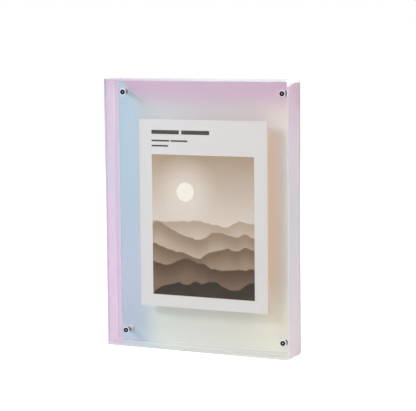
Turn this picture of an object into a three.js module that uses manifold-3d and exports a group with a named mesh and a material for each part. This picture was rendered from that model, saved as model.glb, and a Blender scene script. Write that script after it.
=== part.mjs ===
// Acrylic shadow-box photo frame, in millimetres.
// X runs to the right, Y away from the viewer and Z up. The origin is the middle of the base.
// A tray of iridescent sheet is open to the front. Inside it a card is clamped between two clear
// panes, and four corner screws hold the panes to standoffs that are pressed into the back panel.

import * as THREE from "three";
import { mergeVertices } from "three/addons/utils/BufferGeometryUtils.js";
import Module from "manifold-3d";

// Tray
const frameWidth = 150;
const frameHeight = 200;
const frameDepth = 20;
const wallThickness = 1.5;
const backThickness = 1.5;
const insideBend = 1.7; // inside radius of the two bends in the wrap wall
const bondLine = 0.1; // cement between two bonded faces
const edgeEase = 0.25; // polished chamfer along a sheet's edges

// Panes and card
const frontPaneThickness = 1.5;
const rearPaneThickness = 1.5;
const paneClearance = 0.4; // pane edge to wall
const paneEase = 0.2;
const cardWidth = 105;
const cardHeight = 140;
const cardThickness = 0.35;
const layerGap = 0.1; // between two layers that are clamped together

// Screws and standoffs
const fastenerInset = 10; // screw axis to the frame's outer edges
const headDiameter = 3.8;
const headHeight = 0.9;
const headEase = 0.3;
const socketAcrossFlats = 1.5;
const socketDepth = 0.5;
const shankDiameter = 2;
const tipEase = 0.3;
const tipGap = 0.4; // screw tip to the floor of its standoff
const shankClearance = 0.3; // radial, in the panes and the standoffs
const standoffLength = 4.2;
const standoffDiameter = 4;
const standoffFloor = 0.5;
const standoffEase = 0.2;
const flangeDiameter = 5;
const flangeThickness = 0.7;
const spigotDiameter = 2.8;
const spigotInset = 0.1; // spigot end to the outer face of the back panel
const pressGap = 0.1; // radial, spigot to its hole

// A full circle has twice this many sides.
const arcSteps = 12;
const turnedSides = 2 * arcSteps;

const iridescentAcrylic = { color: 0xdccae4, roughness: 0.22, metalness: 0 };
const frostedAcrylic = { color: 0xc9cbd6, roughness: 0.4, metalness: 0 };
const clearAcrylic = { color: 0xf4f6f6, roughness: 0.05, metalness: 0, transparent: true, opacity: 0.2 };
const cardBoard = { color: 0xdddad8, roughness: 0.8, metalness: 0 };
const polishedSteel = { color: 0x8f8c8a, roughness: 0.25, metalness: 1 };

// Depths, worked forwards from the back panel
const rimDepth = -frameDepth / 2;
const backFace = frameDepth / 2 - backThickness;
const standoffSeat = backFace - bondLine;
const standoffEnd = standoffSeat - standoffLength;
const rearPaneFace = standoffEnd - layerGap - rearPaneThickness;
const cardFace = rearPaneFace - layerGap - cardThickness;
const frontPaneFace = cardFace - layerGap - frontPaneThickness;
const screwSeat = frontPaneFace - layerGap;

const outerBend = insideBend + wallThickness;
const holeRadius = shankDiameter / 2 + shankClearance;
const sides = { left: -frameWidth / 2, right: frameWidth / 2, bottom: 0, top: frameHeight };

const fastenerX = frameWidth / 2 - fastenerInset;
const corners = [
  { name: "top_left", x: -fastenerX, z: frameHeight - fastenerInset },
  { name: "top_right", x: fastenerX, z: frameHeight - fastenerInset },
  { name: "bottom_left", x: -fastenerX, z: fastenerInset },
  { name: "bottom_right", x: fastenerX, z: fastenerInset },
];

const wasm = await Module();
wasm.setup();

function toSolid(geometry) {
  const bare = geometry.clone();
  bare.deleteAttribute("normal");
  bare.deleteAttribute("uv");
  const merged = mergeVertices(bare);
  return new wasm.Manifold(
    new wasm.Mesh({
      numProp: 3,
      vertProperties: new Float32Array(merged.attributes.position.array),
      triVerts: new Uint32Array(merged.index.array),
    }),
  );
}

function cut(body, tool) {
  const mesh = toSolid(body).subtract(toSolid(tool)).getMesh();
  const geometry = new THREE.BufferGeometry();
  geometry.setAttribute("position", new THREE.BufferAttribute(mesh.vertProperties, 3));
  geometry.setIndex(new THREE.BufferAttribute(mesh.triVerts, 1));
  geometry.computeVertexNormals();
  return geometry;
}

function piece(name, geometry, finish) {
  const mesh = new THREE.Mesh(geometry, new THREE.MeshStandardMaterial(finish));
  mesh.name = name;
  return mesh;
}

// A flat piece cut to an outline in X and Z, with eased edges, from the depth of its front face.
function sheet(name, outline, face, thickness, ease, finish) {
  const geometry = new THREE.ExtrudeGeometry(outline, {
    depth: thickness - 2 * ease,
    curveSegments: arcSteps,
    bevelThickness: ease,
    bevelSize: ease,
    bevelOffset: -ease,
    bevelSegments: 1,
    bevelEnabled: ease > 0,
  });
  const mesh = piece(name, geometry, finish);
  mesh.rotation.x = Math.PI / 2;
  mesh.position.y = face + thickness - ease;
  return mesh;
}

// A rectangle with square corners on the left and round ones on the right.
function sheetOutline({ left, right, bottom, top }, bend) {
  const outline = new THREE.Shape();
  outline.moveTo(left, bottom);
  outline.lineTo(right - bend, bottom);
  outline.absarc(right - bend, bottom + bend, bend, -Math.PI / 2, 0);
  outline.lineTo(right, top - bend);
  outline.absarc(right - bend, top - bend, bend, 0, Math.PI / 2);
  outline.lineTo(left, top);
  outline.closePath();
  return outline;
}

function drillCorners(outline, radius) {
  for (const { x, z } of corners) {
    const hole = new THREE.Path();
    hole.absarc(x, z, radius, 0, 2 * Math.PI, true);
    outline.holes.push(hole);
  }
  return outline;
}

// The bent strip: along the bottom, up the right side and back along the top.
function wrapOutline() {
  const { right, bottom, top } = sides;
  const end = sides.left + wallThickness + bondLine;
  const bendX = right - outerBend;
  const outline = new THREE.Shape();
  outline.moveTo(end, bottom);
  outline.lineTo(bendX, bottom);
  outline.absarc(bendX, bottom + outerBend, outerBend, -Math.PI / 2, 0);
  outline.lineTo(right, top - outerBend);
  outline.absarc(bendX, top - outerBend, outerBend, 0, Math.PI / 2);
  outline.lineTo(end, top);
  outline.lineTo(end, top - wallThickness);
  outline.lineTo(bendX, top - wallThickness);
  outline.absarc(bendX, top - outerBend, insideBend, Math.PI / 2, 0, true);
  outline.lineTo(right - wallThickness, bottom + outerBend);
  outline.absarc(bendX, bottom + outerBend, insideBend, 0, -Math.PI / 2, true);
  outline.lineTo(end, bottom + wallThickness);
  outline.closePath();
  return outline;
}

function rectangle(left, right, bottom, top) {
  const outline = new THREE.Shape();
  outline.moveTo(left, bottom);
  outline.lineTo(right, bottom);
  outline.lineTo(right, top);
  outline.lineTo(left, top);
  outline.closePath();
  return outline;
}

function paneOutline() {
  const inset = wallThickness + paneClearance;
  const opening = {
    left: sides.left + inset,
    right: sides.right - inset,
    bottom: sides.bottom + inset,
    top: sides.top - inset,
  };
  return drillCorners(sheetOutline(opening, insideBend), holeRadius);
}

// A turned piece: radius and depth pairs, revolved about the Y axis.
function turned(profile) {
  const points = profile.map(([radius, depth]) => new THREE.Vector2(radius, depth));
  return new THREE.LatheGeometry(points, turnedSides);
}

// Low-headed socket screw. Its head stands in front of its seat at depth 0.
function screwGeometry() {
  const headRadius = headDiameter / 2;
  const shankRadius = shankDiameter / 2;
  const tip = standoffEnd - screwSeat + standoffLength - standoffFloor - tipGap;
  const body = turned([
    [0, -headHeight],
    [headRadius - headEase, -headHeight],
    [headRadius, headEase - headHeight],
    [headRadius, 0],
    [shankRadius, 0],
    [shankRadius, tip - tipEase],
    [shankRadius - tipEase, tip],
    [0, tip],
  ]);
  const keyRadius = socketAcrossFlats / Math.sqrt(3);
  const key = new THREE.CylinderGeometry(keyRadius, keyRadius, 2 * socketDepth, 6);
  key.translate(0, -headHeight, 0);
  return cut(body, key);
}

// Flanged standoff. Its flange lies on the back panel at depth 0 and its spigot fills the hole there.
function standoffGeometry() {
  const radius = standoffDiameter / 2;
  const flangeRadius = flangeDiameter / 2;
  const spigotRadius = spigotDiameter / 2;
  const spigotEnd = bondLine + backThickness - spigotInset;
  return turned([
    [0, -standoffFloor],
    [holeRadius, -standoffFloor],
    [holeRadius, -standoffLength],
    [radius - standoffEase, -standoffLength],
    [radius, standoffEase - standoffLength],
    [radius, -flangeThickness],
    [flangeRadius, -flangeThickness],
    [flangeRadius, 0],
    [spigotRadius, 0],
    [spigotRadius, spigotEnd],
    [0, spigotEnd],
  ]);
}

function atCorners(group, label, geometry, depth) {
  for (const { name, x, z } of corners) {
    const mesh = piece(`${label}_${name}`, geometry.clone(), polishedSteel);
    mesh.position.set(x, depth, z);
    group.add(mesh);
  }
}

function makeTray() {
  const tray = new THREE.Group();
  const wallDepth = standoffSeat - rimDepth;
  const leftStrip = rectangle(sides.left, sides.left + wallThickness, sides.bottom, sides.top);
  const backOutline = drillCorners(sheetOutline(sides, outerBend), spigotDiameter / 2 + pressGap);
  tray.add(
    sheet("wrap_wall", wrapOutline(), rimDepth, wallDepth, edgeEase, iridescentAcrylic),
    sheet("left_wall", leftStrip, rimDepth, wallDepth, edgeEase, iridescentAcrylic),
    sheet("back_panel", backOutline, backFace, backThickness, edgeEase, frostedAcrylic),
  );
  atCorners(tray, "standoff", standoffGeometry(), standoffSeat);
  return tray;
}

function makeInsert() {
  const insert = new THREE.Group();
  const middle = frameHeight / 2;
  const cardOutline = rectangle(
    -cardWidth / 2, cardWidth / 2, middle - cardHeight / 2, middle + cardHeight / 2,
  );
  insert.add(
    sheet("rear_pane", paneOutline(), rearPaneFace, rearPaneThickness, paneEase, clearAcrylic),
    sheet("photo_card", cardOutline, cardFace, cardThickness, 0, cardBoard),
    sheet("front_pane", paneOutline(), frontPaneFace, frontPaneThickness, paneEase, clearAcrylic),
  );
  atCorners(insert, "screw", screwGeometry(), screwSeat);
  return insert;
}

const photoFrame = new THREE.Group();
photoFrame.add(makeTray(), makeInsert());

export default photoFrame;
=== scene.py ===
"""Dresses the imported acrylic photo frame: smooth pieces, finishes, studio light and camera.

X runs to the right, Y away from the viewer and Z up, in metres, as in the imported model.
"""

import math

import bmesh
import bpy
from bpy.props import FloatProperty, FloatVectorProperty, PointerProperty
from mathutils import Matrix, Vector


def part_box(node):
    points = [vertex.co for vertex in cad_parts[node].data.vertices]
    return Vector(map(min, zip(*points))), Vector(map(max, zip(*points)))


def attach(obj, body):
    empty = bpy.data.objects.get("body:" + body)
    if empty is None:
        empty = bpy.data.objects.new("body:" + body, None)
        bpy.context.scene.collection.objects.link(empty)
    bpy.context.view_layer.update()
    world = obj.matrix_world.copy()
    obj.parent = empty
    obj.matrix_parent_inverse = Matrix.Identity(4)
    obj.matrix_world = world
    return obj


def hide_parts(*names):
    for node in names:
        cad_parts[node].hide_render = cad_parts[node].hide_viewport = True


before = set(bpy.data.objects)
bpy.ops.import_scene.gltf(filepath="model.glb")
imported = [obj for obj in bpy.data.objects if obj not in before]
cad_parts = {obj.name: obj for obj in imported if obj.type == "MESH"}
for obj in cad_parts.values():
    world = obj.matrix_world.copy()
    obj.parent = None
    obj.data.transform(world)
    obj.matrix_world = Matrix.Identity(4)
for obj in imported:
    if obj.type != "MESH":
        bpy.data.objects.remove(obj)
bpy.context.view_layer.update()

bl_info = {
    "name": "Acrylic Photo Frame",
    "version": (1, 0, 0),
    "blender": (4, 5, 0),
    "location": "3D View > Sidebar > Photo Frame",
    "description": "Builds and finishes the pieces of an acrylic shadow-box photo frame",
    "category": "Object",
}

MM = 0.001
ACRYLIC_IOR = 1.49
TURNED_SIDES = 48
BEND_STEPS = 16
# Edges that turn more than SHARP are eased, and those that turn more than CREASE aren't smoothed.
SHARP = math.radians(60)
CREASE = math.radians(10)
WELD = 0.001 * MM
CORNERS = ("top_left", "top_right", "bottom_left", "bottom_right")
left_low, left_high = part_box("left_wall")
wrap_low, wrap_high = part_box("wrap_wall")
back_low, back_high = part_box("back_panel")
card_low, card_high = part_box("photo_card")


def linear(code):
    """Linear red, green, blue and alpha of an sRGB hex colour."""
    parts = [int(code[i:i + 2], 16) / 255 for i in (0, 2, 4)]
    return [c / 12.92 if c <= 0.04045 else ((c + 0.055) / 1.055) ** 2.4 for c in parts] + [1.0]


def size(name, description, default):
    """A length that a user may change, in metres."""
    return FloatProperty(name=name, description=description, default=default, min=0.0, precision=5,
                         subtype="DISTANCE", unit="LENGTH")


def turn(name, description, degrees):
    """An angle that a user may change."""
    return FloatProperty(name=name, description=description, default=math.radians(degrees),
                         subtype="ANGLE", unit="ROTATION")


def colour(name, description, code):
    """A colour that a user may change, given as an sRGB hex value."""
    return FloatVectorProperty(name=name, description=description, default=linear(code), size=4,
                               min=0.0, max=1.0, subtype="COLOR")


class TraySettings(bpy.types.PropertyGroup):
    """Sizes and colours of the tray"""
    wall: size("Wall", "Thickness of the wall sheet", left_high.x - left_low.x)
    bend: size("Bend", "Outside radius of the wrap wall's two bends", 3.2 * MM)
    ease: size("Edge ease", "Width of the polished easing on the walls' edges", 0.25 * MM)
    bead: size("Cement bead", "Width of the cement bead round the back panel", 0.7 * MM)
    lilac: colour("Lilac", "Left wall at middle height", "D1C6D4")
    lilac_low: colour("Low lilac", "Left wall near its foot", "D8C4D8")
    grey_lilac: colour("Grey lilac", "Right wall at middle height", "D4D4D9")
    rose: colour("Rose", "Right wall near the upper bend", "D4BBCE")
    pale: colour("Pale", "Bottom wall at its middle", "CDD1CE")
    rim: colour("Rim", "Polished front edge of the right wall", "D3D2D2")
    sky: colour("Sky blue", "Back panel, upper left", "B8CCD5")
    periwinkle: colour("Periwinkle", "Back panel, lower left", "C1CAD5")
    pink: colour("Pink", "Back panel, along the top", "CAB7C6")
    pearl: colour("Pearl", "Back panel, upper middle", "C2BFC1")
    mist: colour("Mist", "Back panel, lower middle", "CDCFCB")
    cream: colour("Cream", "Back panel, lower right", "D7D6CB")
    apricot: colour("Apricot", "Back panel, right of the card", "D9C7B5")


class InsertSettings(bpy.types.PropertyGroup):
    """Sizes and colours of the panes and the card"""
    print_width: size("Print width", "Width of the printed picture on the card", 84 * MM)
    print_height: size("Print height", "Height of the printed picture on the card", 105 * MM)
    print_foot: size("Print foot", "Card's lower edge to the picture", 9 * MM)
    clear: colour("Clear", "What the panes let through", "FFFFFF")
    cut_edge: colour("Cut edge", "Polished edges of the front pane", "E6DAE8")
    paper: colour("Paper", "Card's face", "D5D2D0")
    ink: colour("Ink", "Plain rules above the picture", "4A4643")
    haze: colour("Haze", "Picture's sky", "CFC3B7")
    dusk: colour("Dusk", "Picture's nearest ridge", "2A2522")


class FastenerSettings(bpy.types.PropertyGroup):
    """Sizes and colours of the screws and standoffs"""
    head: size("Head", "Diameter of a screw's head", 3.8 * MM)
    head_height: size("Head height", "Height of a screw's head", 0.9 * MM)
    head_ease: size("Head ease", "Chamfer on a screw's head", 0.3 * MM)
    socket: size("Socket", "Hexagon socket across its flats", 1.5 * MM)
    socket_depth: size("Socket depth", "Depth of the hexagon socket", 0.5 * MM)
    shank: size("Shank", "Diameter of a screw's shank", 2.0 * MM)
    bore: size("Bore", "Diameter of a standoff's bore", 2.6 * MM)
    barrel: size("Barrel", "Diameter of a standoff's barrel", 4.0 * MM)
    flange: size("Flange", "Diameter of a standoff's flange", 5.0 * MM)
    flange_height: size("Flange height", "Thickness of a standoff's flange", 0.7 * MM)
    spigot: size("Spigot", "Diameter of a standoff's spigot", 2.8 * MM)
    steel: colour("Steel", "Sockets and shanks of the screws", "C9CED8")
    head_dark: colour("Darkening", "Screw heads round the socket, and the standoffs' rims", "3A3431")


class StageSettings(bpy.types.PropertyGroup):
    """Camera, light and floor"""
    azimuth: turn("Azimuth", "How far round to the right the camera stands", 26.758)
    elevation: turn("Elevation", "How far above the horizon the camera stands", 6.238)
    roll: turn("Roll", "How far the camera is rolled", -0.519)
    distance: size("Distance", "Camera to the point that it looks at", 1.1863)
    lens: FloatProperty(name="Lens", description="Focal length on a sensor 36 mm wide", default=141.66,
                        min=1.0, subtype="DISTANCE_CAMERA", unit="CAMERA")
    key: FloatProperty(name="Key light", description="Strength of the soft light on the upper left",
                       default=20.0, min=0.0, subtype="POWER", unit="POWER")
    back: FloatProperty(name="Back light", description="Strength of the light behind the frosted panel",
                        default=19.0, min=0.0, subtype="POWER", unit="POWER")
    fill: FloatProperty(name="Fill", description="Strength of the even light from all round",
                        default=0.67, min=0.0)
    floor: colour("Floor", "Floor under the frame", "D0D0D0")


def add(tree, kind, values=(), links=(), stops=(), **settings):
    """Adds a node with its settings, its socket values, its links and the stops of its ramp.

    A colour may be a hex value. A link from a node comes from its first output in use. Sockets go by
    name or number: a MapRange takes 0 from the range 1 to 2 to the range 3 to 4, and a colour Mix goes
    by the share 0 from 6 to 7.
    """
    made = tree.nodes.new("ShaderNode" + kind)
    for name, value in settings.items():
        setattr(made, name, value)
    for socket, value in dict(values).items():
        made.inputs[socket].default_value = linear(value) if isinstance(value, str) else value
    for socket, source in dict(links).items():
        if isinstance(source, bpy.types.Node):
            source = next(output for output in source.outputs if output.enabled)
        tree.links.new(source, made.inputs[socket])
    for number, (position, shade) in enumerate(stops):
        ramp = made.color_ramp.elements
        stop = ramp[number] if number < 2 else ramp.new(position)
        stop.position, stop.color = position, linear(shade) if isinstance(shade, str) else shade
    return made


def new_material(name):
    """A material and its node tree, with nothing in it."""
    made = bpy.data.materials.new(name)
    made.use_nodes = True
    made.node_tree.nodes.clear()
    return made, made.node_tree


def backlit(tree, sheet, milk, share, tint):
    """A sheet that glows by a share with the light behind it and throws a tinted shadow."""
    glow = add(tree, "BsdfTranslucent", links={0: milk})
    sheet = add(tree, "MixShader", links={0: share, 1: sheet, 2: glow})
    through = add(tree, "BsdfTransparent", {0: tint})
    lamp = add(tree, "LightPath").outputs["Is Shadow Ray"]
    return add(tree, "MixShader", links={0: lamp, 1: sheet, 2: through})


def iridescent_acrylic(tray):
    """Cast acrylic with an iridescent film: milky lilac that shifts along a side, under hard gloss."""
    made, tree = new_material("iridescent_acrylic")
    place = add(tree, "TexCoord").outputs["Object"]
    x, y, z = add(tree, "SeparateXYZ", links={0: place}).outputs
    up = add(tree, "MapRange", {2: wrap_high.z}, {0: z})
    across = add(tree, "MapRange", {1: left_low.x, 2: wrap_high.x}, {0: x})
    left = add(tree, "ValToRGB", links={0: up}, stops=[
        (0.03, "D8C6D5"), (0.3, tray.lilac_low), (0.6, tray.lilac), (0.94, "CFC2CF"), (1.0, "C8B7C8")])
    right = add(tree, "ValToRGB", links={0: up}, stops=[
        (0.0, "E6D7E0"), (0.06, "DFD9DF"), (0.5, tray.grey_lilac), (0.78, "DBD4DE"), (0.97, tray.rose)])
    ceiling = add(tree, "ValToRGB", links={0: across}, stops=[
        (0.0, "D4C8D6"), (0.4, "DCD4DE"), (0.7, "DEDADF")])
    ground = add(tree, "ValToRGB", links={0: across}, stops=[
        (0.0, "D8CDD8"), (0.05, "CFD1D8"), (0.12, "C8CED5"), (0.2, "C6D0D2"), (0.3, "CDD6D3"),
        (0.5, tray.pale), (0.85, "CACDCA"), (0.97, "CED3CD"), (1.0, "E6D2DC")])
    # One wall's colours give way to the next round the bends, and in the joint at the left wall.
    bend_start, bend_end = 3.4 * MM, 1.4 * MM
    on_top = add(tree, "MapRange", {1: wrap_high.z - bend_start, 2: wrap_high.z - bend_end}, {0: z},
                 interpolation_type="SMOOTHSTEP")
    on_ground = add(tree, "MapRange", {1: bend_start, 2: bend_end}, {0: z},
                    interpolation_type="SMOOTHSTEP")
    on_left = add(tree, "MapRange", {1: left_high.x + 0.1 * MM, 2: left_high.x + 0.04 * MM}, {0: x})
    shade = add(tree, "Mix", links={0: on_top, 6: right, 7: ceiling}, data_type="RGBA")
    shade = add(tree, "Mix", links={0: on_ground, 6: shade, 7: ground}, data_type="RGBA")
    shade = add(tree, "Mix", links={0: on_left, 6: shade, 7: left}, data_type="RGBA")
    # The polished front edge is greyest at the upper left, and is painted lighter along the top towards
    # the right, a painted highlight.
    rim = add(tree, "ValToRGB", links={0: across}, stops=[
        (0.04, "BBB5C5"), (0.15, "CAC3CC"), (0.3, "D3D0D9"), (0.5, "DBDADF"), (0.65, "E4E4E8")])
    upright = add(tree, "ValToRGB", links={0: up}, stops=[
        (0.04, "DEE0D6"), (0.13, "DBDAD4"), (0.25, tray.rim)])
    rim = add(tree, "Mix", links={0: on_top, 6: upright, 7: rim}, data_type="RGBA")
    grey = add(tree, "ValToRGB", links={0: up}, stops=[(0.85, "C4B9CC"), (1.0, "A8A6B4")])
    rim = add(tree, "Mix", links={0: on_left, 6: rim, 7: grey}, data_type="RGBA")
    # Along the bottom it is paler than the wall, and most so at the right.
    pale = add(tree, "MapRange", {1: 0.35, 2: 1.0, 4: 0.7}, {0: across})
    curb = add(tree, "Mix", {7: "F2EFE8"}, {0: pale, 6: shade}, data_type="RGBA")
    rim = add(tree, "Mix", links={0: on_ground, 6: rim, 7: curb}, data_type="RGBA")
    at_rim = add(tree, "MapRange", {1: wrap_low.y + 0.3 * MM, 2: wrap_low.y + 0.2 * MM}, {0: y})
    shade = add(tree, "Mix", links={0: at_rim, 6: shade, 7: rim}, data_type="RGBA")
    # The upper bend is rosy. Above a line that climbs towards the back it is painted white, a painted
    # highlight.
    climb, height, soft = 0.2554, 197.85 * MM, 0.7 * MM
    line = add(tree, "Math", {1: climb, 2: height}, {0: y}, operation="MULTIPLY_ADD")
    over = add(tree, "Math", links={0: z, 1: line}, operation="SUBTRACT")
    over = add(tree, "MapRange", {1: -soft, 2: soft}, {0: over}, interpolation_type="SMOOTHSTEP")
    bent = add(tree, "MapRange", {1: wrap_high.x - 2.5 * MM, 2: wrap_high.x - 1.5 * MM}, {0: x})
    rosy = add(tree, "Math", links={0: bent, 1: on_top}, operation="MULTIPLY")
    shade = add(tree, "Mix", {7: "C9A8BD"}, {0: rosy, 6: shade}, data_type="RGBA")
    bent = add(tree, "Math", links={0: bent, 1: over}, operation="MULTIPLY")
    shade = add(tree, "Mix", {7: "FFFFFF"}, {0: bent, 6: shade}, data_type="RGBA")
    # Handling marks a few millimetres across, and the slow waviness of cast sheet.
    marks = add(tree, "TexNoise", {"Scale": 1 / (6 * MM), "Detail": 4.0}, {"Vector": place})
    gloss = add(tree, "MapRange", {1: 0.35, 2: 0.7, 3: 0.07, 4: 0.16}, {0: marks})
    waves = add(tree, "TexNoise", {"Scale": 1 / (30 * MM), "Detail": 1.0}, {"Vector": place})
    bump = add(tree, "Bump", {"Strength": 0.08, "Distance": 0.4 * MM}, {"Height": waves})
    sheet = add(tree, "BsdfPrincipled", {
        "IOR": ACRYLIC_IOR, "Coat Weight": 0.3, "Coat Roughness": 0.04, "Thin Film Thickness": 352.0,
        "Thin Film IOR": 1.62}, {"Base Color": shade, "Roughness": gloss, "Normal": bump})
    milk = add(tree, "Mix", {0: 0.35, 7: "FFFFFF"}, {6: shade}, data_type="RGBA")
    # The left wall is lit from outside and glows most. The front edge glows least.
    share = add(tree, "MapRange", {1: left_high.x, 2: wrap_high.x, 3: 0.45, 4: 0.2}, {0: x})
    dull = add(tree, "MapRange", {3: 1.0, 4: 0.3}, {0: at_rim})
    share = add(tree, "Math", links={0: share, 1: dull}, operation="MULTIPLY")
    mixed = backlit(tree, sheet, milk, share, "DFDCE4")
    add(tree, "OutputMaterial", links={0: mixed})
    return made


def frosted_acrylic(tray):
    """Satin acrylic with painted pastel light from the walls: no gloss, and a fine frosted tooth."""
    made, tree = new_material("frosted_acrylic")
    place = add(tree, "TexCoord").outputs["Object"]
    x, _, z = add(tree, "SeparateXYZ", links={0: place}).outputs
    across = add(tree, "MapRange", {1: back_low.x, 2: back_high.x}, {0: x})
    up = add(tree, "MapRange", {2: back_high.z}, {0: z})
    upper = add(tree, "ValToRGB", links={0: across}, stops=[
        (0.2, "C3C7C8"), (0.45, tray.pearl), (0.75, "C4BDBD"), (0.95, "D3CBC5")])
    lower = add(tree, "ValToRGB", links={0: across}, stops=[
        (0.2, "CDD2CD"), (0.35, tray.mist), (0.65, "CFCFC8"), (0.8, "D3D3C9"), (0.86, tray.cream),
        (0.93, "D1D2C5")])
    rise = add(tree, "MapRange", {1: 40 * MM, 2: 165 * MM}, {0: z}, interpolation_type="SMOOTHSTEP")
    shade = add(tree, "Mix", links={0: rise, 6: lower, 7: upper}, data_type="RGBA")

    # Painted warm light from the right wall in the card's shadow: apricot between the card and the right
    # wall, deepest beside the card and greyer by the wall.
    strip = add(tree, "ValToRGB", links={0: across}, stops=[
        (0.835, "E3D1BF"), (0.85, tray.apricot), (0.89, "D2C3B8"), (0.92, "CAC5BF"), (0.94, "CAC8C3")])
    beside = add(tree, "MapRange", {1: 0.72, 2: 0.84}, {0: across}, interpolation_type="SMOOTHSTEP")
    tall = add(tree, "MapRange", {1: 167 * MM, 2: 158 * MM}, {0: z}, interpolation_type="SMOOTHSTEP")
    deep = add(tree, "MapRange", {1: 12 * MM, 2: 60 * MM}, {0: z}, interpolation_type="SMOOTHSTEP")
    warm = add(tree, "Math", links={0: tall, 1: deep}, operation="MULTIPLY")
    warm = add(tree, "Math", links={0: warm, 1: beside}, operation="MULTIPLY")
    shade = add(tree, "Mix", links={0: warm, 6: shade, 7: strip}, data_type="RGBA")

    # Painted light: a faint warm patch below the apricot lifts the foot of the card's shadow
    warmth = 0.16
    shadow_lift = add(tree, "ValToRGB", links={0: up}, stops=[
        (0.07, "000000"), (0.11, "FFFFFF"), (0.15, "FFFFFF"), (0.27, "000000")])
    shadow_lift = add(tree, "Math", links={0: shadow_lift, 1: beside}, operation="MULTIPLY")
    shadow_lift = add(tree, "Math", {1: warmth}, {0: shadow_lift}, operation="MULTIPLY")
    shade = add(tree, "Mix", {7: "F6ECE0"}, {0: shadow_lift, 6: shade}, data_type="RGBA")

    # Blue light through the left wall and pink light through the top wall are painted in. They meet on a
    # line that falls to the right from the upper left corner, and the blue narrows upwards.
    fall, height, narrowing = 0.85, 137.2 * MM, 0.045
    slope = add(tree, "Math", {1: fall, 2: -height}, {0: x}, operation="MULTIPLY_ADD")
    above = add(tree, "Math", links={0: slope, 1: z}, operation="ADD")
    above = add(tree, "MapRange", {1: -3 * MM, 2: 3 * MM}, {0: above}, interpolation_type="SMOOTHSTEP")
    pink = add(tree, "MapRange", {1: 173 * MM, 2: 195 * MM}, {0: z}, interpolation_type="SMOOTHSTEP")
    pink = add(tree, "Math", links={0: pink, 1: above}, operation="MULTIPLY")
    pinks = add(tree, "ValToRGB", links={0: across}, stops=[(0.4, tray.pink), (1.0, "CDB7C5")])
    shade = add(tree, "Mix", links={0: pink, 6: shade, 7: pinks}, data_type="RGBA")
    blue = add(tree, "Math", {1: narrowing}, {0: z, 2: x}, operation="MULTIPLY_ADD")
    blue = add(tree, "MapRange", {1: -39 * MM, 2: -59 * MM}, {0: blue}, interpolation_type="SMOOTHSTEP")
    under = add(tree, "Math", {0: 1.0}, {1: pink}, operation="SUBTRACT")
    blue = add(tree, "Math", links={0: blue, 1: under}, operation="MULTIPLY")
    blues = add(tree, "ValToRGB", links={0: up}, stops=[
        (0.02, "C1CED8"), (0.085, "BDC8D2"), (0.23, tray.periwinkle), (0.53, "B9CAD3"),
        (0.75, tray.sky)])
    shade = add(tree, "Mix", links={0: blue, 6: shade, 7: blues}, data_type="RGBA")
    # Painted light from the floor lifts the panel's foot.
    foot = add(tree, "MapRange", {1: 16 * MM, 2: 4 * MM, 4: 0.08}, {0: z},
               interpolation_type="SMOOTHSTEP")
    shade = add(tree, "Mix", {7: "F4F6F4"}, {0: foot, 6: shade}, data_type="RGBA")
    # The cut edge shows beside the right wall. It is pinker upwards and doesn't glow.
    cut = add(tree, "Math", {1: back_high.x - 0.3 * MM}, {0: x}, operation="GREATER_THAN")
    edges = add(tree, "ValToRGB", links={0: up}, stops=[
        (0.3, "C8C3C7"), (0.6, "D0CBCF"), (0.8, "D6CCD3"), (1.0, "D6BECB")])
    shade = add(tree, "Mix", links={0: cut, 6: shade, 7: edges}, data_type="RGBA")

    # The tooth of the frosting is about 0.05 mm. It is drawn at 0.4 mm, so that it shows.
    tooth = add(tree, "TexNoise", {"Scale": 1 / (0.4 * MM), "Detail": 2.0}, {"Vector": place})
    bump = add(tree, "Bump", {"Strength": 0.05, "Distance": 0.05 * MM}, {"Height": tooth})
    satin = add(tree, "MapRange", {3: 0.42, 4: 0.58}, {0: tooth})
    sheet = add(tree, "BsdfPrincipled", {"IOR": ACRYLIC_IOR},
                {"Base Color": shade, "Roughness": satin, "Normal": bump})
    share = add(tree, "MapRange", {3: 0.35, 4: 0.0}, {0: cut})
    mixed = backlit(tree, sheet, shade, share, "E8E8E8")
    add(tree, "OutputMaterial", links={0: mixed})
    return made


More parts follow.
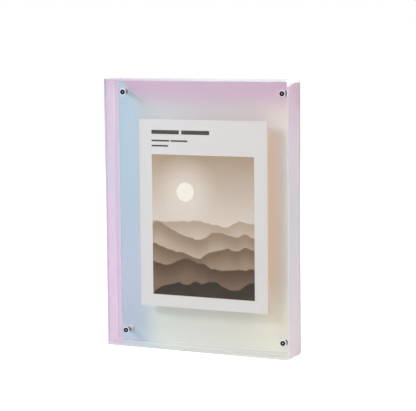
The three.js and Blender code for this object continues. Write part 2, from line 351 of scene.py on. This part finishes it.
def clear_acrylic(insert):
    """Clear acrylic panes: seen through, with a faint mirror gloss and cut edges with a painted glow."""
    made, tree = new_material("clear_acrylic")
    pane_low, pane_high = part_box("front_pane")
    middle = (pane_low + pane_high) / 2
    # Depth of a cut edge, and how much of the light it stops at the sides and at the top and bottom
    skin, side_cover, end_cover = 0.15 * MM, 0.85, 0.15
    place = add(tree, "TexCoord").outputs["Object"]
    x, y, z = add(tree, "SeparateXYZ", links={0: place}).outputs
    aside = add(tree, "Math", links={0: x}, operation="ABSOLUTE")
    level = add(tree, "Math", {1: middle.z}, {0: z}, operation="SUBTRACT")
    level = add(tree, "Math", links={0: level}, operation="ABSOLUTE")
    side = add(tree, "Math", {1: pane_high.x - skin}, {0: aside}, operation="GREATER_THAN")
    end = add(tree, "Math", {1: pane_high.z - middle.z - skin}, {0: level}, operation="GREATER_THAN")
    side = add(tree, "Math", {1: side_cover}, {0: side}, operation="MULTIPLY")
    end = add(tree, "Math", {1: end_cover}, {0: end}, operation="MULTIPLY")
    edge = add(tree, "Math", links={0: side, 1: end}, operation="MAXIMUM")
    # The top and right edges are sawn, not polished, and look grey.
    sawn = add(tree, "Math", {1: pane_high.x - skin}, {0: x}, operation="GREATER_THAN")
    top = add(tree, "Math", {1: pane_high.z - skin}, {0: z}, operation="GREATER_THAN")
    sawn = add(tree, "Math", links={0: sawn, 1: top}, operation="MAXIMUM")
    sawn = add(tree, "Math", {1: side_cover}, {0: sawn}, operation="MULTIPLY")
    edge = add(tree, "Math", links={0: edge, 1: sawn}, operation="MAXIMUM")
    # The polished lips of the front pane's screw holes have a painted white glow.
    screw_low, screw_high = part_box("screw_top_right")
    axis = (screw_low + screw_high) / 2
    off = add(tree, "CombineXYZ", links={0: aside, 2: level})
    off = add(tree, "VectorMath", {1: (axis.x, 0, axis.z - middle.z)}, {0: off}, operation="DISTANCE")
    lip = add(tree, "MapRange", {1: 3.1 * MM, 2: 2.2 * MM, 4: side_cover}, {0: off},
              interpolation_type="SMOOTHSTEP")
    front = add(tree, "Math", {1: pane_low.y + 0.1 * MM}, {0: y}, operation="LESS_THAN")
    lip = add(tree, "Math", links={0: lip, 1: front}, operation="MULTIPLY")
    edge = add(tree, "Math", links={0: edge, 1: lip}, operation="MAXIMUM")
    # Wiping has left a haze in swathes about 18 mm wide. The mirror gloss grows towards a glancing view.
    wipes = add(tree, "TexNoise", {"Scale": 1 / (18 * MM), "Detail": 3.0}, {"Vector": place})
    haze = add(tree, "MapRange", {1: 0.4, 2: 0.7, 3: 0.01, 4: 0.05}, {0: wipes})
    gloss = add(tree, "BsdfGlossy", links={"Roughness": haze})
    through = add(tree, "BsdfTransparent", {0: insert.clear})
    facing = add(tree, "LayerWeight").outputs["Facing"]
    mirror = add(tree, "Math", {1: 5.0}, {0: facing}, operation="POWER")
    mirror = add(tree, "Math", {1: 0.25, 2: 0.008}, {0: mirror}, operation="MULTIPLY_ADD")
    pane = add(tree, "MixShader", links={0: mirror, 1: through, 2: gloss})
    # The rear pane's side edges are duller than the front pane's.
    rear = add(tree, "Math", {1: pane_high.y + 0.2 * MM}, {0: y}, operation="GREATER_THAN")
    rear = add(tree, "Math", links={0: rear, 1: side}, operation="MULTIPLY")
    tint = add(tree, "Mix", {6: insert.cut_edge, 7: "D8C7D7"}, {0: rear}, data_type="RGBA")
    tint = add(tree, "Mix", {7: "A9A4AE"}, {0: sawn, 6: tint}, data_type="RGBA")
    # The front pane's edges have a painted glow, strongest near the corners.
    corner = add(tree, "MapRange", {1: 45 * MM, 2: 85 * MM}, {0: level},
                 interpolation_type="SMOOTHSTEP")
    painted_edge_glow = add(tree, "Mix", {6: "202020", 7: "868C66"}, {0: corner}, data_type="RGBA")
    painted_edge_glow = add(tree, "Mix", {7: "484848"}, {0: rear, 6: painted_edge_glow}, data_type="RGBA")
    painted_edge_glow = add(tree, "Mix", {7: "000000"}, {0: sawn, 6: painted_edge_glow}, data_type="RGBA")
    painted_edge_glow = add(tree, "Mix", {7: "FFFFFF"}, {0: lip, 6: painted_edge_glow}, data_type="RGBA")
    cut = add(tree, "BsdfPrincipled", {"Roughness": 0.2, "IOR": ACRYLIC_IOR, "Emission Strength": 0.8},
              {"Base Color": tint, "Emission Color": painted_edge_glow})
    glow = add(tree, "BsdfTranslucent", links={0: tint})
    cut = add(tree, "MixShader", {0: 0.5}, {1: cut, 2: glow})
    mixed = add(tree, "MixShader", links={0: edge, 1: pane, 2: cut})
    add(tree, "OutputMaterial", links={0: mixed})
    return made


def printed_card(insert):
    """Uncoated card with a sepia print: matt, faintly fibrous, with soft ridges under a hazy sky."""
    made, tree = new_material("printed_card")
    left, width, height = -insert.print_width / 2, insert.print_width, insert.print_height
    foot = card_low.z + insert.print_foot
    place = add(tree, "TexCoord").outputs["Object"]
    x, y, z = add(tree, "SeparateXYZ", links={0: place}).outputs
    rise = add(tree, "MapRange", {1: foot, 2: foot + height}, {0: z}, clamp=False)

    # Sky with a pale low sun
    picture = add(tree, "ValToRGB", links={0: rise}, stops=[
        (0.4, "DDD3C8"), (0.62, insert.haze), (1.0, "A8957F")])
    sun = Vector((left + 0.33 * width, card_low.y, foot + 0.74 * height))
    reach = add(tree, "VectorMath", {1: sun}, {0: place}, operation="DISTANCE")
    glow = add(tree, "MapRange", {1: 30 * MM, 2: 7 * MM, 4: 0.55}, {0: reach},
               interpolation_type="SMOOTHSTEP")
    picture = add(tree, "Mix", {7: "E6DED4"}, {0: glow, 6: picture}, data_type="RGBA")
    disc = add(tree, "MapRange", {1: 7.3 * MM, 2: 6.9 * MM}, {0: reach})
    picture = add(tree, "Mix", {7: "F0EAE2"}, {0: disc, 6: picture}, data_type="RGBA")

    # Ridges from far to near: height, swell, width of a hill, seed, crest's colour and valley's colour
    ridges = ((0.54, 0.07, 40 * MM, 3.1, "B3A08D", "CDBFB1"),
              (0.45, 0.10, 52 * MM, 8.4, "94806C", "BBAA98"),
              (0.34, 0.10, 46 * MM, 5.7, "75604D", "A08B77"),
              (0.22, 0.09, 38 * MM, 1.9, "513F33", "7A6553"),
              (0.08, 0.10, 44 * MM, 6.6, insert.dusk, "3D322A"))
    for level, swell, hill, seed, crest, valley in ridges:
        along = add(tree, "Math", {1: 1 / hill, 2: seed}, {0: x}, operation="MULTIPLY_ADD")
        line = add(tree, "TexNoise", {"Scale": 1.0, "Detail": 5.0, "Roughness": 0.42}, {"W": along},
                   noise_dimensions="1D")
        line = add(tree, "MapRange", {1: 0.2, 2: 0.8, 3: level - swell, 4: level + swell}, {0: line},
                   clamp=False)
        below = add(tree, "Math", links={0: line, 1: rise}, operation="SUBTRACT")
        cover = add(tree, "MapRange", {1: -0.003, 2: 0.003}, {0: below})
        sink = add(tree, "MapRange", {1: 0.0, 2: 0.16}, {0: below}, interpolation_type="SMOOTHSTEP")
        slope = add(tree, "Mix", {6: crest, 7: valley}, {0: sink}, data_type="RGBA")
        picture = add(tree, "Mix", links={0: cover, 6: picture, 7: slope}, data_type="RGBA")
    grain = add(tree, "TexNoise", {"Scale": 1 / (0.8 * MM), "Detail": 2.0}, {"Vector": place})
    grain = add(tree, "MapRange", {1: 0.3, 2: 0.7, 4: 0.14}, {0: grain})
    picture = add(tree, "Mix", {7: "8D785E"}, {0: grain, 6: picture}, data_type="RGBA")

    # Bare paper with fibres about 1 mm long. Painted light makes it cooler on the left and paler at its
    # foot, where the floor lights it.
    fibre = add(tree, "TexNoise", {"Scale": 1 / (1.0 * MM), "Detail": 5.0}, {"Vector": place})
    tint = add(tree, "MapRange", {1: card_low.x, 2: card_high.x}, {0: x})
    paper = add(tree, "Mix", {6: "D1D2D2", 7: insert.paper}, {0: tint}, data_type="RGBA")
    low = add(tree, "MapRange", {1: card_low.z + 30 * MM, 2: card_low.z, 4: 0.2}, {0: z})
    paper = add(tree, "Mix", {7: "E4E1DE"}, {0: low, 6: paper}, data_type="RGBA")
    speck = add(tree, "MapRange", {1: 0.3, 2: 0.7, 4: 0.05}, {0: fibre})
    paper = add(tree, "Mix", {7: "C9C4BE"}, {0: speck, 6: paper}, data_type="RGBA")

    # Plain rules above the picture: left end, right end, height above the card's foot and thickness
    rules = ((-42, -19, 130.6, 3.0), (-17, 6, 130.6, 3.0), (-42, -27, 124.2, 1.2),
             (-26, -12, 124.2, 1.2), (-42, -28, 120.4, 1.2))
    for start, end, above, thick in rules:
        inside = add(tree, "Math", {1: (start + end) / 2 * MM, 2: (end - start) / 2 * MM}, {0: x},
                     operation="COMPARE")
        within = add(tree, "Math", {1: card_low.z + above * MM, 2: thick / 2 * MM}, {0: z},
                     operation="COMPARE")
        mark = add(tree, "Math", links={0: inside, 1: within}, operation="MULTIPLY")
        paper = add(tree, "Mix", {7: insert.ink}, {0: mark, 6: paper}, data_type="RGBA")

    inside = add(tree, "Math", {1: 0.0, 2: width / 2}, {0: x}, operation="COMPARE")
    within = add(tree, "Math", {1: foot + height / 2, 2: height / 2}, {0: z}, operation="COMPARE")
    printed = add(tree, "Math", links={0: inside, 1: within}, operation="MULTIPLY")
    front = add(tree, "Math", {1: card_low.y + 0.05 * MM}, {0: y}, operation="LESS_THAN")
    face = add(tree, "Mix", links={0: printed, 6: paper, 7: picture}, data_type="RGBA")
    face = add(tree, "Mix", {6: insert.paper}, {0: front, 7: face}, data_type="RGBA")
    bump = add(tree, "Bump", {"Strength": 0.06, "Distance": 0.05 * MM}, {"Height": fibre})
    card = add(tree, "BsdfPrincipled", {"Roughness": 0.85, "Specular IOR Level": 0.25},
               {"Base Color": face, "Normal": bump})
    add(tree, "OutputMaterial", links={0: card})
    return made


def polished_steel(fastener):
    """Turned stainless steel with fine lathe rings: dark on the heads, and painted pale behind with
    painted light.
    """
    made, tree = new_material("polished_steel")
    place = add(tree, "TexCoord").outputs["Object"]
    x, y, z = add(tree, "SeparateXYZ", links={0: place}).outputs
    low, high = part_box("screw_top_right")
    axis = (low + high) / 2
    middle = (wrap_low.z + wrap_high.z) / 2
    aside = add(tree, "Math", links={0: x}, operation="ABSOLUTE")
    aside = add(tree, "Math", {1: axis.x}, {0: aside}, operation="SUBTRACT")
    level = add(tree, "Math", {1: middle}, {0: z}, operation="SUBTRACT")
    level = add(tree, "Math", links={0: level}, operation="ABSOLUTE")
    level = add(tree, "Math", {1: axis.z - middle}, {0: level}, operation="SUBTRACT")
    spot = add(tree, "CombineXYZ", links={0: aside, 2: level})
    # Lathe rings 0.4 mm apart: the texture repeats every pi / 10 of its scaled length.
    rings = add(tree, "TexWave", {"Scale": math.pi / 10 / (0.4 * MM), "Distortion": 0.4},
                {"Vector": spot}, wave_type="RINGS", rings_direction="SPHERICAL").outputs["Fac"]
    satin = add(tree, "MapRange", {3: 0.16, 4: 0.3}, {0: rings})
    bump = add(tree, "Bump", {"Strength": 0.1, "Distance": 0.02 * MM}, {"Height": rings})
    # Heads are dark round their sockets, and the front rims of the standoffs half as much.
    socket_edge, rim_edge, rim_share = 0.55 * MM, 1.75 * MM, 0.5
    out = add(tree, "VectorMath", links={0: spot}, operation="LENGTH")
    head = add(tree, "Math", {1: low.y + 1.0 * MM}, {0: y}, operation="LESS_THAN")
    ring = add(tree, "Math", {1: socket_edge}, {0: out}, operation="GREATER_THAN")
    head = add(tree, "Math", links={0: head, 1: ring}, operation="MULTIPLY")
    ring = add(tree, "Math", {1: rim_edge}, {0: out}, operation="GREATER_THAN")
    end = add(tree, "Math", {1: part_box("standoff_top_right")[0].y + 0.4 * MM}, {0: y},
              operation="LESS_THAN")
    ring = add(tree, "Math", links={0: ring, 1: end}, operation="MULTIPLY")
    ring = add(tree, "Math", {1: rim_share}, {0: ring}, operation="MULTIPLY")
    dark = add(tree, "Math", links={0: head, 1: ring}, operation="MAXIMUM")
    shade = add(tree, "Mix", {6: fastener.steel, 7: fastener.head_dark}, {0: dark}, data_type="RGBA")
    # The barrels and flanges are painted pale, painted light that lifts their shade to the bright panel
    # round them, and they mirror little.
    painted_pale = add(tree, "Math", {0: 1.0}, {1: end}, operation="SUBTRACT")
    shade = add(tree, "Mix", {7: "E2E3E8"}, {0: painted_pale, 6: shade}, data_type="RGBA")
    bright = add(tree, "MapRange", {3: 1.0, 4: 0.15}, {0: painted_pale})
    metal = add(tree, "BsdfPrincipled",
                links={"Base Color": shade, "Metallic": bright, "Roughness": satin, "Normal": bump})
    add(tree, "OutputMaterial", links={0: metal})
    return made


def acrylic_cement():
    """Set solvent cement: a clear glossy bead with a painted glow along the joint."""
    made, tree = new_material("acrylic_cement")
    place = add(tree, "TexCoord").outputs["Object"]
    flow = add(tree, "TexNoise", {"Scale": 1 / (4 * MM), "Detail": 2.0}, {"Vector": place})
    shade = add(tree, "Mix", {6: "E4E2E2", 7: "EEECEC"}, {0: flow}, data_type="RGBA")
    x = add(tree, "SeparateXYZ", links={0: place}).outputs[0]
    # Its painted glow is strongest beside the left wall.
    lit = add(tree, "MapRange", {1: left_high.x + 2 * MM, 2: left_high.x + 1 * MM}, {0: x})
    painted_joint_glow = add(tree, "Mix", {6: "3C3E3C", 7: "7A747E"}, {0: lit}, data_type="RGBA")
    cover = add(tree, "MapRange", {3: 0.7, 4: 0.8}, {0: lit})
    bump = add(tree, "Bump", {"Strength": 0.3, "Distance": 0.2 * MM}, {"Height": flow})
    bead = add(tree, "BsdfPrincipled", {"Roughness": 0.3, "IOR": 1.48, "Emission Strength": 1.0},
               {"Base Color": shade, "Alpha": cover, "Emission Color": painted_joint_glow, "Normal": bump})
    add(tree, "OutputMaterial", links={0: bead})
    return made


def studio_floor(stage):
    """Plain pale paper sweep that stays white to the eye and keeps the frame's shadow."""
    made, tree = new_material("studio_paper")
    place = add(tree, "TexCoord").outputs["Object"]
    grain = add(tree, "TexNoise", {"Scale": 1 / (3 * MM), "Detail": 2.0}, {"Vector": place})
    shade = add(tree, "Mix", {6: stage.floor, 7: "D6D6D6"}, {0: grain}, data_type="RGBA")
    paper = add(tree, "BsdfDiffuse", links={0: shade})
    # Light that brings the paper up to white for the eye, and its level in a mirror
    to_white, in_mirror = 0.57, 0.85
    path = add(tree, "LightPath").outputs
    seen = add(tree, "Math", links={0: path["Is Camera Ray"], 1: path["Is Transmission Ray"]},
               operation="MAXIMUM")
    lift = add(tree, "Math", {1: to_white}, {0: seen}, operation="MULTIPLY")
    white = add(tree, "Emission", links={"Strength": lift})
    both = add(tree, "AddShader", links={0: paper, 1: white})
    mirrored = add(tree, "Emission", {"Strength": in_mirror})
    both = add(tree, "MixShader", links={0: path["Is Glossy Ray"], 1: both, 2: mirrored})
    add(tree, "OutputMaterial", links={0: both})
    return made


def finish_piece(name, bm, body, material, nodes=()):
    """Makes a bmesh a smooth piece that rides on a body and stands for its CAD nodes."""
    bmesh.ops.remove_doubles(bm, verts=bm.verts, dist=WELD)
    bmesh.ops.recalc_face_normals(bm, faces=bm.faces)
    mesh = bpy.data.meshes.new(name)
    bm.to_mesh(mesh)
    bm.free()
    mesh.shade_smooth()
    mesh.set_sharp_from_angle(angle=CREASE)
    mesh.materials.append(material)
    made = bpy.data.objects.new(name, mesh)
    bpy.context.scene.collection.objects.link(made)
    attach(made, body)
    if nodes:
        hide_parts(*nodes)


def dress(node, material, shadow=True):
    """Gives a CAD node whose shape is right its finish. A clear one casts no shadow."""
    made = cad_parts[node]
    made.visible_shadow = shadow
    made.data.materials.clear()
    made.data.materials.append(material)


def block(bm, low, high):
    """A rectangular block between two corners."""
    made = bmesh.ops.create_cube(bm, size=1.0)["verts"]
    bmesh.ops.scale(bm, vec=high - low, verts=made)
    bmesh.ops.translate(bm, vec=(low + high) / 2, verts=made)


def ease_edges(bm, width):
    """Rounds every sharp edge."""
    bm.normal_update()
    sharp = [e for e in bm.edges if len(e.link_faces) == 2 and e.calc_face_angle() > SHARP]
    bmesh.ops.bevel(bm, geom=sharp, offset=width, offset_type="OFFSET", segments=3, profile=0.5,
                    affect="EDGES", material=-1, clamp_overlap=True)


class PHOTOFRAME_OT_walls(bpy.types.Operator):
    """Builds the bent wrap wall, the left wall and the cement bead, and finishes the back panel"""
    bl_idname = "photo_frame.walls"
    bl_label = "Tray"

    def execute(self, context):
        tray = context.scene.photo_frame_tray
        acrylic = iridescent_acrylic(tray)
        self.wrap(tray, acrylic)
        bm = bmesh.new()
        block(bm, left_low, left_high)
        ease_edges(bm, tray.ease)
        finish_piece("left_wall_sheet", bm, "tray", acrylic, ["left_wall"])
        self.bead(tray)
        dress("back_panel", frosted_acrylic(tray))
        return {"FINISHED"}

    def wrap(self, tray, acrylic):
        """Carries the strip's end face along the bottom, round both bends and back along the top."""
        bm = bmesh.new()
        made = bmesh.ops.create_grid(bm, x_segments=1, y_segments=1, size=0.5)["verts"]
        bmesh.ops.rotate(bm, verts=made, cent=(0, 0, 0), matrix=Matrix.Rotation(math.pi / 2, 3, "Y"))
        bmesh.ops.scale(bm, verts=made, vec=(1, wrap_high.y - wrap_low.y, tray.wall))
        middle = (wrap_low.y + wrap_high.y) / 2
        bmesh.ops.translate(bm, verts=made, vec=(wrap_low.x, middle, tray.wall / 2))
        end = list(bm.faces)
        bend_x = wrap_high.x - tray.bend
        run = bend_x - wrap_low.x
        climb = wrap_high.z - 2 * tray.bend
        steps = ((Vector((run, 0, 0)), Vector((bend_x, 0, tray.bend))),
                 (Vector((0, 0, climb)), Vector((bend_x, 0, wrap_high.z - tray.bend))),
                 (Vector((-run, 0, 0)), None))
        for move, centre in steps:
            border = [e for f in end for e in f.edges]
            grown = bmesh.ops.extrude_face_region(bm, geom=end + border)["geom"]
            corners = [v for v in grown if isinstance(v, bmesh.types.BMVert)]
            bmesh.ops.translate(bm, vec=move, verts=corners)
            end = [f for f in grown if isinstance(f, bmesh.types.BMFace)]
            if centre is not None:
                last = bmesh.ops.spin(bm, geom=end, cent=centre, axis=(0, 1, 0), angle=-math.pi / 2,
                                      steps=BEND_STEPS)["geom_last"]
                bmesh.ops.delete(bm, geom=end, context="FACES_ONLY")
                end = [f for f in last if isinstance(f, bmesh.types.BMFace)]
        ease_edges(bm, tray.ease)
        finish_piece("wrap_wall_sheet", bm, "tray", acrylic, ["wrap_wall"])

    def bead(self, tray):
        """A rounded bead of cement where the walls meet the back panel, let a little into the joint."""
        joint = 0.05 * MM
        low = Vector((left_high.x - joint, back_low.y + joint, tray.wall - joint))
        high = Vector((wrap_high.x - tray.wall + joint, back_low.y + joint,
                       wrap_high.z - tray.wall + joint))
        rounding = 0.9 * tray.bead
        bm = bmesh.new()
        made = bmesh.ops.create_grid(bm, x_segments=1, y_segments=1, size=0.5)["verts"]
        bmesh.ops.rotate(bm, verts=made, cent=(0, 0, 0), matrix=Matrix.Rotation(math.pi / 2, 3, "X"))
        bmesh.ops.scale(bm, verts=made, vec=(high.x - low.x, 1, high.z - low.z))
        bmesh.ops.translate(bm, verts=made, vec=(low + high) / 2)
        bends = [v for v in bm.verts if v.co.x > 0]
        bmesh.ops.bevel(bm, geom=bends, offset=tray.bend - tray.wall, offset_type="OFFSET", segments=8,
                        profile=0.5, affect="VERTICES", material=-1)
        middle = list(bm.faces)
        bmesh.ops.inset_region(bm, faces=middle, thickness=tray.bead, use_even_offset=True,
                               use_boundary=True)
        bmesh.ops.delete(bm, geom=middle, context="FACES")
        grown = bmesh.ops.extrude_face_region(bm, geom=list(bm.faces))["geom"]
        front = [v for v in grown if isinstance(v, bmesh.types.BMVert)]
        bmesh.ops.translate(bm, vec=(0, -tray.bead, 0), verts=front)
        bm.normal_update()
        crest = [e for e in bm.edges
                 if all(v in front for v in e.verts) and self.faces_in(e, low, high, tray)]
        bmesh.ops.bevel(bm, geom=crest, offset=rounding, offset_type="OFFSET", segments=4, profile=0.5,
                        affect="EDGES", material=-1, clamp_overlap=True)
        finish_piece("cement_bead", bm, "tray", acrylic_cement())

    def faces_in(self, edge, low, high, tray):
        """True for an edge of the bead that is clear of the walls."""
        spare = 0.6 * tray.bead  # further in than the wall's side of the bead
        middle = (edge.verts[0].co + edge.verts[1].co) / 2
        clear = low.x + spare < middle.x < high.x - spare and low.z + spare < middle.z < high.z - spare
        return clear and len(edge.link_faces) == 2 and edge.calc_face_angle() > SHARP


class PHOTOFRAME_OT_insert(bpy.types.Operator):
    """Finishes the two clear panes and the printed card"""
    bl_idname = "photo_frame.insert"
    bl_label = "Panes and card"

    def execute(self, context):
        insert = context.scene.photo_frame_insert
        clear = clear_acrylic(insert)
        dress("front_pane", clear, shadow=False)
        dress("rear_pane", clear, shadow=False)
        dress("photo_card", printed_card(insert))
        return {"FINISHED"}


class PHOTOFRAME_OT_fasteners(bpy.types.Operator):
    """Builds the four socket screws and the four flanged standoffs"""
    bl_idname = "photo_frame.fasteners"
    bl_label = "Screws and standoffs"

    def execute(self, context):
        fastener = context.scene.photo_frame_fasteners
        steel = polished_steel(fastener)
        for corner in CORNERS:
            self.screw(fastener, corner, steel)
            self.standoff(fastener, corner, steel)
        return {"FINISHED"}

    def revolve(self, bm, profile):
        """Spins a line of radius and depth pairs about the Y axis."""
        line = [bm.verts.new((radius, depth, 0)) for radius, depth in profile]
        edges = [bm.edges.new(pair) for pair in zip(line, line[1:])]
        bmesh.ops.spin(bm, geom=line + edges, cent=(0, 0, 0), axis=(0, 1, 0), angle=2 * math.pi,
                       steps=TURNED_SIDES, use_merge=True)
        bmesh.ops.remove_doubles(bm, verts=bm.verts, dist=WELD)

    def screw(self, fastener, corner, steel):
        """A low head with a hexagon socket on a plain shank."""
        name = "screw_" + corner
        low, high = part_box(name)
        head, shank, ease = fastener.head / 2, fastener.shank / 2, fastener.head_ease
        crown = 0.3 * ease
        top, seat, tip = low.y, low.y + fastener.head_height, high.y
        bm = bmesh.new()
        self.revolve(bm, (
            (head - ease, top), (head - crown, top + crown), (head, top + ease), (head, seat),
            (shank, seat), (shank, tip - ease), (shank - ease, tip), (0, tip)))
        rim = [e for e in bm.edges if e.is_boundary]
        key = bmesh.ops.create_circle(bm, segments=6, radius=fastener.socket / math.sqrt(3))["verts"]
        bmesh.ops.rotate(bm, verts=key, cent=(0, 0, 0), matrix=Matrix.Rotation(math.pi / 2, 3, "X"))
        bmesh.ops.translate(bm, verts=key, vec=(0, top, 0))
        sides = [e for e in bm.edges if e.is_wire]
        bmesh.ops.subdivide_edges(bm, edges=sides, cuts=TURNED_SIDES // 6 - 1)
        sides = [e for e in bm.edges if e.is_wire]
        bmesh.ops.bridge_loops(bm, edges=rim + sides)
        sunk = bmesh.ops.extrude_edge_only(bm, edges=sides)["geom"]
        bmesh.ops.translate(bm, vec=(0, fastener.socket_depth, 0),
                            verts=[v for v in sunk if isinstance(v, bmesh.types.BMVert)])
        bmesh.ops.contextual_create(bm, geom=[e for e in sunk if isinstance(e, bmesh.types.BMEdge)])
        bmesh.ops.translate(bm, verts=bm.verts, vec=((low.x + high.x) / 2, 0, (low.z + high.z) / 2))
        finish_piece("socket_" + name, bm, name, steel, [name])

    def standoff(self, fastener, corner, steel):
        """A bored barrel with a flange on the back panel and a spigot through it."""
        name = "standoff_" + corner
        low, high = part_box(name)
        bore, barrel = fastener.bore / 2, fastener.barrel / 2
        flange, spigot = fastener.flange / 2, fastener.spigot / 2
        # Cement under the flange, floor of the bore, and two widths of easing
        bond, thickness, ease, slight = 0.1 * MM, 0.5 * MM, 0.2 * MM, 0.1 * MM
        seat = back_low.y - bond
        floor, ledge = seat - thickness, seat - fastener.flange_height
        bm = bmesh.new()
        self.revolve(bm, (
            (0, floor), (bore, floor), (bore, low.y + slight), (bore + slight, low.y),
            (barrel - ease, low.y), (barrel, low.y + ease), (barrel, ledge), (flange - slight, ledge),
            (flange, ledge + slight), (flange, seat), (spigot, seat), (spigot, high.y - slight),
            (spigot - slight, high.y), (0, high.y)))
        bmesh.ops.translate(bm, verts=bm.verts, vec=((low.x + high.x) / 2, 0, (low.z + high.z) / 2))
        finish_piece("turned_" + name, bm, "tray", steel, [name])


class PHOTOFRAME_OT_stage(bpy.types.Operator):
    """Sets the camera, the studio light and the floor"""
    bl_idname = "photo_frame.stage"
    bl_label = "Stage"

    def execute(self, context):
        scene = context.scene
        stage = scene.photo_frame_stage
        scene.view_settings.view_transform = "Standard"
        self.camera(scene, stage)
        self.lights(scene, stage)
        reach, drop = 6.0, 0.1 * MM  # the floor lies just clear of the frame
        bm = bmesh.new()
        bmesh.ops.create_grid(bm, x_segments=1, y_segments=1, size=reach)
        bmesh.ops.translate(bm, verts=bm.verts, vec=(0, 0, -drop))
        mesh = bpy.data.meshes.new("floor")
        bm.to_mesh(mesh)
        bm.free()
        mesh.materials.append(studio_floor(stage))
        floor = bpy.data.objects.new("floor", mesh)
        scene.collection.objects.link(floor)
        return {"FINISHED"}

    def camera(self, scene, stage):
        """Stands the camera off to the right and a little above, aimed near the middle of the front."""
        az, el, roll = stage.azimuth, stage.elevation, stage.roll
        back = Vector((math.sin(az) * math.cos(el), -math.cos(az) * math.cos(el), math.sin(el)))
        right = Vector((math.cos(az), math.sin(az), 0))
        up = back.cross(right)
        across = math.cos(roll) * right + math.sin(roll) * up
        upright = math.cos(roll) * up - math.sin(roll) * right
        aim = Vector((10.63, -10.0, 108.96)) * MM
        data = bpy.data.cameras.new("camera")
        data.sensor_width, data.sensor_fit, data.lens = 36.0, "HORIZONTAL", stage.lens
        data.clip_start, data.clip_end = 0.01, 50.0
        made = bpy.data.objects.new("camera", data)
        made.matrix_world = Matrix.Translation(aim + back * stage.distance) @ Matrix(
            (across, upright, back)).transposed().to_4x4()
        scene.collection.objects.link(made)
        scene.camera = made

    def lights(self, scene, stage):
        """A soft key on the upper left, a high back light, and even light from all round."""
        middle = Vector((0, 0, (wrap_low.z + wrap_high.z) / 2))
        # Name, direction from the frame's middle, distance, width and strength
        lamps = (("key", (-1.63, -1.0, 1.17), 1.6, 0.5, stage.key),
                 ("back_light", (0.04, 0.89, 0.45), 1.5, 0.9, stage.back))
        for name, toward, far, wide, strength in lamps:
            toward = Vector(toward).normalized()
            data = bpy.data.lights.new(name, "AREA")
            data.shape, data.size, data.energy = "DISK", wide, strength
            made = bpy.data.objects.new(name, data)
            facing = toward.to_track_quat("Z", "Y").to_matrix().to_4x4()
            made.matrix_world = Matrix.Translation(middle + far * toward) @ facing
            scene.collection.objects.link(made)

        world = bpy.data.worlds.new("studio")
        world.use_nodes = True
        tree = world.node_tree
        tree.nodes.clear()
        place = add(tree, "TexCoord").outputs["Generated"]
        # Gloss mirrors a dim room in front of the frame, and the eye sees white everywhere.
        depth = add(tree, "SeparateXYZ", links={0: place}).outputs[1]
        mirrored = add(tree, "MapRange", {1: -0.3, 2: 0.3, 3: 0.06, 4: 1.0}, {0: depth},
                       interpolation_type="SMOOTHSTEP")
        path = add(tree, "LightPath").outputs
        seen = add(tree, "Math", links={0: path["Is Camera Ray"], 1: path["Is Transmission Ray"]},
                   operation="MAXIMUM")
        level = add(tree, "Mix", {2: stage.fill}, {0: path["Is Glossy Ray"], 3: mirrored})
        level = add(tree, "Mix", {3: 1.0}, {0: seen, 2: level})
        light = add(tree, "Background", {"Color": "FFFFFF"}, {"Strength": level})
        add(tree, "OutputWorld", links={0: light})
        scene.world = world


class PHOTOFRAME_PT_panel(bpy.types.Panel):
    """Lists the frame's operators and settings"""
    bl_idname = "PHOTOFRAME_PT_panel"
    bl_label = "Photo Frame"
    bl_space_type = "VIEW_3D"
    bl_region_type = "UI"
    bl_category = "Photo Frame"

    def draw(self, context):
        for operator, group in STEPS:
            box = self.layout.box()
            box.operator(operator)
            settings = getattr(context.scene, group)
            for name in settings.__annotations__:
                box.prop(settings, name)


STEPS = (("photo_frame.walls", "photo_frame_tray"), ("photo_frame.insert", "photo_frame_insert"),
         ("photo_frame.fasteners", "photo_frame_fasteners"), ("photo_frame.stage", "photo_frame_stage"))
GROUPS = (("photo_frame_tray", TraySettings), ("photo_frame_insert", InsertSettings),
          ("photo_frame_fasteners", FastenerSettings), ("photo_frame_stage", StageSettings))
CLASSES = (TraySettings, InsertSettings, FastenerSettings, StageSettings, PHOTOFRAME_OT_walls,
           PHOTOFRAME_OT_insert, PHOTOFRAME_OT_fasteners, PHOTOFRAME_OT_stage, PHOTOFRAME_PT_panel)


def register():
    for made in CLASSES:
        bpy.utils.register_class(made)
    for name, group in GROUPS:
        setattr(bpy.types.Scene, name, PointerProperty(type=group))


def unregister():
    for name, _ in GROUPS:
        delattr(bpy.types.Scene, name)
    for made in reversed(CLASSES):
        bpy.utils.unregister_class(made)


def main():
    register()
    bpy.ops.photo_frame.walls()
    bpy.ops.photo_frame.insert()
    bpy.ops.photo_frame.fasteners()
    bpy.ops.photo_frame.stage()


if __name__ == "__main__":
    main()
